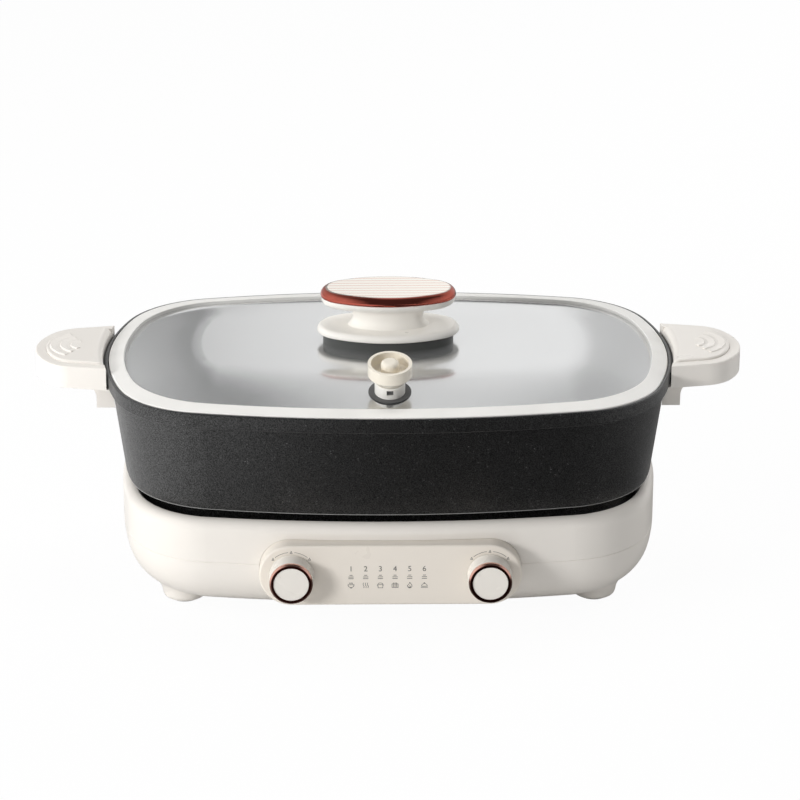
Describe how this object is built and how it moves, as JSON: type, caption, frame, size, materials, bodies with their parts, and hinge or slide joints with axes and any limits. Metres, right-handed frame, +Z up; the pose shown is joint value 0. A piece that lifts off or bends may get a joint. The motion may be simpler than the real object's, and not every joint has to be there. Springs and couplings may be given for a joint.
{
  "type": "electric hot pot",
  "caption": "Oval-cornered electric hot pot: cream base with dial knobs, lift-out black non-stick pot with side handles, and a domed glass lid with a steam valve.",
  "frame": {"origin": "on the floor plane that the foot pads stand on, under the middle of the pot", "axes": "+X along the pot to the right-hand handle, -Y to the front where the control panel is, +Z up"},
  "size_m": [0.483, 0.269, 0.2002],
  "materials": {
    "base_cream": "satin cream ABS",
    "panel_cream": "satin cream ABS",
    "knob_cream": "satin cream ABS",
    "handle_cream": "satin cream phenolic",
    "valve_cream": "satin cream",
    "valve_white": "smooth off-white",
    "silicone_cream": "smooth cream silicone",
    "gasket_grey": "matt dark grey",
    "seal_black": "matt black",
    "foot_rubber": "matt grey",
    "nonstick_black": "speckled non-stick coating",
    "lid_glass": "clear toughened glass",
    "rose_gold": "rose gold, fine brushed lines",
    "pan_steel": "pressed stainless steel",
    "plate_aluminium": "cast, machined face",
    "element_steel": "dull heated steel",
    "probe_aluminium": "pressed, bright",
    "guide_ceramic": "unglazed steatite",
    "steel": "zinc-plated",
    "switch_black": "moulded phenolic",
    "inlet_black": "moulded, fine grain",
    "nut_brass": "nickel-plated",
    "pin_brass": "bright"
  },
  "bodies": {
    "base": {"lower_housing": "base_cream", "upper_housing": "base_cream", "foot_pads": "foot_rubber", "housing_screws": "steel", "heat_shield": "pan_steel", "heating_plate": "plate_aluminium", "plate_standoffs": "steel", "plate_screws": "steel", "heat_shield_screws": "steel", "heating_element": "element_steel", "element_terminals": "steel", "thermostat_guide": "guide_ceramic", "thermostat_spring": "steel", "control_panel": "panel_cream", "left_switch": "switch_black", "right_switch": "switch_black", "switch_nuts": "nut_brass", "appliance_inlet": "inlet_black", "inlet_pins": "pin_brass"},
    "thermostat": {"thermostat_cap": "probe_aluminium", "thermostat_stem": "guide_ceramic", "thermostat_clip": "steel"},
    "left_knob": {"left_knob_skirt": "knob_cream", "left_knob_ring": "rose_gold", "left_knob_cap": "knob_cream", "left_knob_shaft": "steel"},
    "right_knob": {"right_knob_skirt": "knob_cream", "right_knob_ring": "rose_gold", "right_knob_cap": "knob_cream", "right_knob_shaft": "steel"},
    "pot": {"pot": "nonstick_black", "left_handle_grip": "handle_cream", "left_handle_cover": "handle_cream", "left_handle_pad": "seal_black", "left_handle_screws": "steel", "right_handle_grip": "handle_cream", "right_handle_cover": "handle_cream", "right_handle_pad": "seal_black", "right_handle_screws": "steel"},
    "lid": {"lid_rim": "silicone_cream", "lid_glass": "lid_glass", "lid_gasket": "gasket_grey", "lid_knob": "handle_cream", "lid_knob_cap": "rose_gold", "lid_washer": "steel", "lid_knob_screw": "steel", "valve_seat": "valve_white", "valve_nut": "valve_white"},
    "steam_valve": {"valve_cup": "valve_cream"}
  },
  "joints": [
    {"name": "pot_lift", "type": "slide", "parent": "base", "child": "pot", "axis": [0, 0, 1], "range_m": [0, 0.12]},
    {"name": "lid_lift", "type": "slide", "parent": "pot", "child": "lid", "axis": [0, 0, 1], "range_m": [0, 0.12]},
    {"name": "steam_valve_turn", "type": "hinge", "parent": "lid", "child": "steam_valve", "pos_m": [0, -0.09, 0.15854], "axis": [0, -0.2155, 0.9765], "range_deg": [0, 90]},
    {"name": "left_knob_turn", "type": "hinge", "parent": "base", "child": "left_knob", "pos_m": [-0.0655, -0.13, 0.0436], "axis": [0, 1, 0], "range_deg": [0, 100]},
    {"name": "right_knob_turn", "type": "hinge", "parent": "base", "child": "right_knob", "pos_m": [0.0655, -0.13, 0.0436], "axis": [0, 1, 0], "range_deg": [0, 100]},
    {"name": "thermostat_press", "type": "slide", "parent": "base", "child": "thermostat", "axis": [0, 0, 1], "range_m": [-0.003, 0], "stiffness_N_per_m": 500, "springref_m": 0.002, "deforming": ["thermostat_spring"]}
  ]
}
